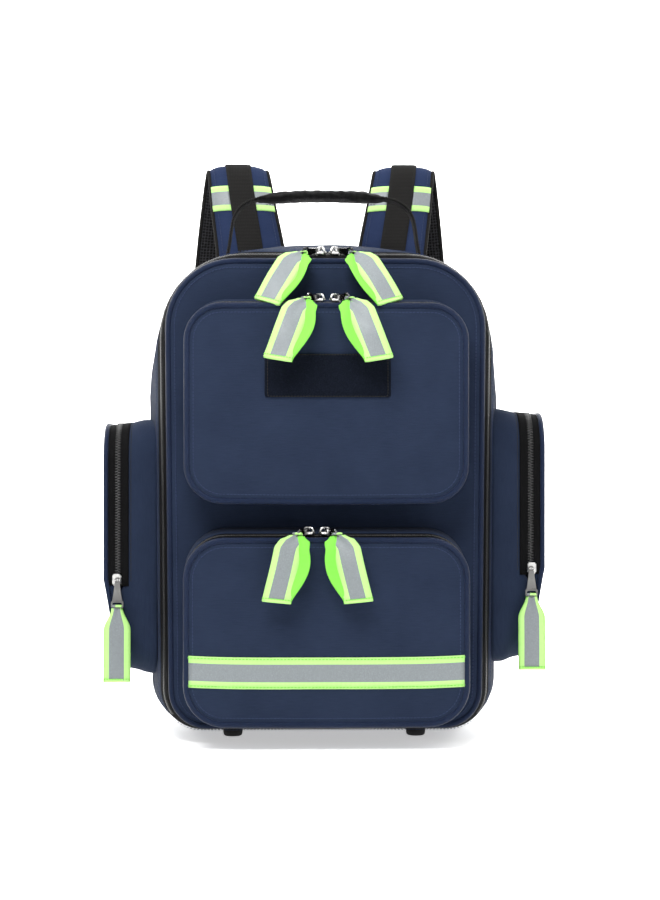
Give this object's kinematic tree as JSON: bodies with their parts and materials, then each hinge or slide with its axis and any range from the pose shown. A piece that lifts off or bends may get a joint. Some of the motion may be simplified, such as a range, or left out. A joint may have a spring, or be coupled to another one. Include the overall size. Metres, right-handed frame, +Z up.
{
  "type": "trauma backpack",
  "caption": "Padded emergency backpack with a fold-down zipped front lid, zipped front and side pockets, reflective pulls and strip, a carry handle and shoulder straps.",
  "frame": {"origin": "on the ground under the middle of the whole object's box", "axes": "+Z up, -Y out of the front lid, +X to the right seen from the front"},
  "size_m": [0.404, 0.3335, 0.5457],
  "materials": {
    "navy_fabric": "woven polyester, coated behind",
    "navy_piping": "fabric-covered piping",
    "strap_fabric": "woven polyester over foam",
    "back_mesh": "air mesh",
    "zip_tape": "knitted zip tape with coil teeth",
    "black_webbing": "woven webbing",
    "hook_loop": "loop pile",
    "reflective_webbing": "lime webbing with a grey retroreflective stripe",
    "nickel_metal": "nickel plated zinc, polished",
    "black_plastic": "moulded acetal",
    "rubber_foot": "moulded rubber",
    "lining": "padded lining"
  },
  "bodies": {
    "pack_body": {"back_panel": "back_mesh", "body_gusset": "navy_fabric", "base_panel": "lining", "rubber_feet": "rubber_foot", "back_pads": "back_mesh", "rear_piping": "navy_piping", "main_zip_rear_tape": "zip_tape", "padded_dividers": "lining", "webbing_anchors": "black_webbing", "side_pocket_left": "navy_fabric", "side_pocket_right": "navy_fabric", "side_zip_tapes": "zip_tape"},
    "handle": {"handle_webbing": "black_webbing", "handle_grip": "black_webbing"},
    "front_lid": {"front_panel": "navy_fabric", "front_piping": "navy_piping", "main_zip_front_tape": "zip_tape", "upper_pocket": "navy_fabric", "lower_pocket": "navy_fabric", "reflective_strip": "reflective_webbing", "pocket_zip_tapes": "zip_tape"},
    "upper_flap": {"upper_flap": "navy_fabric", "loop_patch": "hook_loop"},
    "lower_flap": {"lower_flap": "navy_fabric"},
    "side_lid_left": {"side_lid_left": "navy_fabric"},
    "side_lid_right": {"side_lid_right": "navy_fabric"},
    "strap_left": {"shoulder_pad_left": "strap_fabric", "strap_webbing_left": "black_webbing", "strap_reflective_left": "reflective_webbing", "ladder_lock_left": "black_plastic", "adjuster_webbing_left": "black_webbing"},
    "strap_right": {"shoulder_pad_right": "strap_fabric", "strap_webbing_right": "black_webbing", "strap_reflective_right": "reflective_webbing", "ladder_lock_right": "black_plastic", "adjuster_webbing_right": "black_webbing"},
    "main_slider_left": {"main_slider_left": "nickel_metal"},
    "main_tab_left": {"main_tab_left": "nickel_metal"},
    "main_loop_left": {"main_loop_left": "reflective_webbing"},
    "main_slider_right": {"main_slider_right": "nickel_metal"},
    "main_tab_right": {"main_tab_right": "nickel_metal"},
    "main_loop_right": {"main_loop_right": "reflective_webbing"},
    "upper_slider_left": {"upper_slider_left": "nickel_metal"},
    "upper_tab_left": {"upper_tab_left": "nickel_metal"},
    "upper_loop_left": {"upper_loop_left": "reflective_webbing"},
    "upper_slider_right": {"upper_slider_right": "nickel_metal"},
    "upper_tab_right": {"upper_tab_right": "nickel_metal"},
    "upper_loop_right": {"upper_loop_right": "reflective_webbing"},
    "lower_slider_left": {"lower_slider_left": "nickel_metal"},
    "lower_tab_left": {"lower_tab_left": "nickel_metal"},
    "lower_loop_left": {"lower_loop_left": "reflective_webbing"},
    "lower_slider_right": {"lower_slider_right": "nickel_metal"},
    "lower_tab_right": {"lower_tab_right": "nickel_metal"},
    "lower_loop_right": {"lower_loop_right": "reflective_webbing"},
    "side_slider_left": {"side_slider_left": "nickel_metal"},
    "side_tab_left": {"side_tab_left": "nickel_metal"},
    "side_loop_left": {"side_loop_left": "reflective_webbing"},
    "side_slider_right": {"side_slider_right": "nickel_metal"},
    "side_tab_right": {"side_tab_right": "nickel_metal"},
    "side_loop_right": {"side_loop_right": "reflective_webbing"}
  },
  "joints": [
    {"name": "front_lid_hinge", "type": "hinge", "parent": "pack_body", "child": "front_lid", "pos_m": [0, -0.098, 0.013], "axis": [1, 0, 0], "range_deg": [0, 90]},
    {"name": "upper_flap_hinge", "type": "hinge", "parent": "front_lid", "child": "upper_flap", "pos_m": [0, -0.134, 0.301], "axis": [1, 0, 0], "range_deg": [0, 100]},
    {"name": "lower_flap_hinge", "type": "hinge", "parent": "front_lid", "child": "lower_flap", "pos_m": [0, -0.144, 0.104], "axis": [1, 0, 0], "range_deg": [0, 100]},
    {"name": "side_lid_left_hinge", "type": "hinge", "parent": "pack_body", "child": "side_lid_left", "pos_m": [-0.203, 0, 0.138], "axis": [0, -1, 0], "range_deg": [0, 90]},
    {"name": "side_lid_right_hinge", "type": "hinge", "parent": "pack_body", "child": "side_lid_right", "pos_m": [0.203, 0, 0.148], "axis": [0, 1, 0], "range_deg": [0, 90]},
    {"name": "handle_fold", "type": "hinge", "parent": "pack_body", "child": "handle", "pos_m": [0, 0, 0.47], "axis": [1, 0, 0], "range_deg": [-80, 80]},
    {"name": "strap_left_swing", "type": "hinge", "parent": "pack_body", "child": "strap_left", "pos_m": [0, 0.084, 0.44], "axis": [1, 0, 0], "range_deg": [0, 15]},
    {"name": "strap_right_swing", "type": "hinge", "parent": "pack_body", "child": "strap_right", "pos_m": [0, 0.084, 0.44], "axis": [1, 0, 0], "range_deg": [0, 15]},
    {"name": "main_slider_left_run", "type": "slide", "parent": "front_lid", "child": "main_slider_left", "axis": [-1, 0, 0], "range_m": [0, 0.064]},
    {"name": "main_tab_left_hinge", "type": "hinge", "parent": "main_slider_left", "child": "main_tab_left", "pos_m": [-0.0046, -0.08474, 0.44216], "axis": [-0.7431, 0.6691, 0], "range_deg": [0, 40]},
    {"name": "main_loop_left_hinge", "type": "hinge", "parent": "main_tab_left", "child": "main_loop_left", "pos_m": [-0.02031, -0.10219, 0.43717], "axis": [-0.7431, 0.6691, 0], "range_deg": [0, 50]},
    {"name": "main_slider_right_run", "type": "slide", "parent": "front_lid", "child": "main_slider_right", "axis": [1, 0, 0], "range_m": [0, 0.06]},
    {"name": "main_tab_right_hinge", "type": "hinge", "parent": "main_slider_right", "child": "main_tab_right", "pos_m": [0.0086, -0.08474, 0.44216], "axis": [-0.7431, -0.6691, 0], "range_deg": [0, 40]},
    {"name": "main_loop_right_hinge", "type": "hinge", "parent": "main_tab_right", "child": "main_loop_right", "pos_m": [0.02431, -0.10219, 0.43717], "axis": [-0.7431, -0.6691, 0], "range_deg": [0, 50]},
    {"name": "upper_slider_left_run", "type": "slide", "parent": "upper_flap", "child": "upper_slider_left", "axis": [-1, 0, 0], "range_m": [0, 0.075]},
    {"name": "upper_tab_left_hinge", "type": "hinge", "parent": "upper_slider_left", "child": "upper_tab_left", "pos_m": [-0.0062, -0.11629, 0.39731], "axis": [-0.866, 0.5, 0], "range_deg": [0, 25]},
    {"name": "upper_loop_left_hinge", "type": "hinge", "parent": "upper_tab_left", "child": "upper_loop_left", "pos_m": [-0.01808, -0.13687, 0.39397], "axis": [-0.866, 0.5, 0], "range_deg": [0, 35]},
    {"name": "upper_slider_right_run", "type": "slide", "parent": "upper_flap", "child": "upper_slider_right", "axis": [1, 0, 0], "range_m": [0, 0.07]},
    {"name": "upper_tab_right_hinge", "type": "hinge", "parent": "upper_slider_right", "child": "upper_tab_right", "pos_m": [0.0082, -0.11629, 0.39731], "axis": [-0.866, -0.5, 0], "range_deg": [0, 25]},
    {"name": "upper_loop_right_hinge", "type": "hinge", "parent": "upper_tab_right", "child": "upper_loop_right", "pos_m": [0.02008, -0.13687, 0.39397], "axis": [-0.866, -0.5, 0], "range_deg": [0, 35]},
    {"name": "lower_slider_left_run", "type": "slide", "parent": "lower_flap", "child": "lower_slider_left", "axis": [-1, 0, 0], "range_m": [0, 0.06]},
    {"name": "lower_tab_left_hinge", "type": "hinge", "parent": "lower_slider_left", "child": "lower_tab_left", "pos_m": [-0.0156, -0.12626, 0.19222], "axis": [-0.9063, 0.4226, 0], "range_deg": [0, 40]},
    {"name": "lower_loop_left_hinge", "type": "hinge", "parent": "lower_tab_left", "child": "lower_loop_left", "pos_m": [-0.02564, -0.1478, 0.18888], "axis": [-0.9063, 0.4226, 0], "range_deg": [0, 50]},
    {"name": "lower_slider_right_run", "type": "slide", "parent": "lower_flap", "child": "lower_slider_right", "axis": [1, 0, 0], "range_m": [0, 0.075]},
    {"name": "lower_tab_right_hinge", "type": "hinge", "parent": "lower_slider_right", "child": "lower_tab_right", "pos_m": [-0.0012, -0.12626, 0.19222], "axis": [-0.9063, -0.4226, 0], "range_deg": [0, 40]},
    {"name": "lower_loop_right_hinge", "type": "hinge", "parent": "lower_tab_right", "child": "lower_loop_right", "pos_m": [0.00884, -0.1478, 0.18888], "axis": [-0.9063, -0.4226, 0], "range_deg": [0, 50]},
    {"name": "side_slider_left_run", "type": "slide", "parent": "pack_body", "child": "side_slider_left", "axis": [0, 0, 1], "range_m": [0, 0.085]},
    {"name": "side_tab_left_hinge", "type": "hinge", "parent": "side_slider_left", "child": "side_tab_left", "pos_m": [-0.188, -0.0658, 0.144], "axis": [-1, 0, 0], "range_deg": [0, 90]},
    {"name": "side_loop_left_hinge", "type": "hinge", "parent": "side_tab_left", "child": "side_loop_left", "pos_m": [-0.188, -0.06789, 0.12009], "axis": [-1, 0, 0], "range_deg": [0, 60]},
    {"name": "side_slider_right_run", "type": "slide", "parent": "pack_body", "child": "side_slider_right", "axis": [0, 0, 1], "range_m": [0, 0.085]},
    {"name": "side_tab_right_hinge", "type": "hinge", "parent": "side_slider_right", "child": "side_tab_right", "pos_m": [0.188, -0.0658, 0.154], "axis": [-1, 0, 0], "range_deg": [0, 90]},
    {"name": "side_loop_right_hinge", "type": "hinge", "parent": "side_tab_right", "child": "side_loop_right", "pos_m": [0.188, -0.06789, 0.13009], "axis": [-1, 0, 0], "range_deg": [0, 60]}
  ]
}
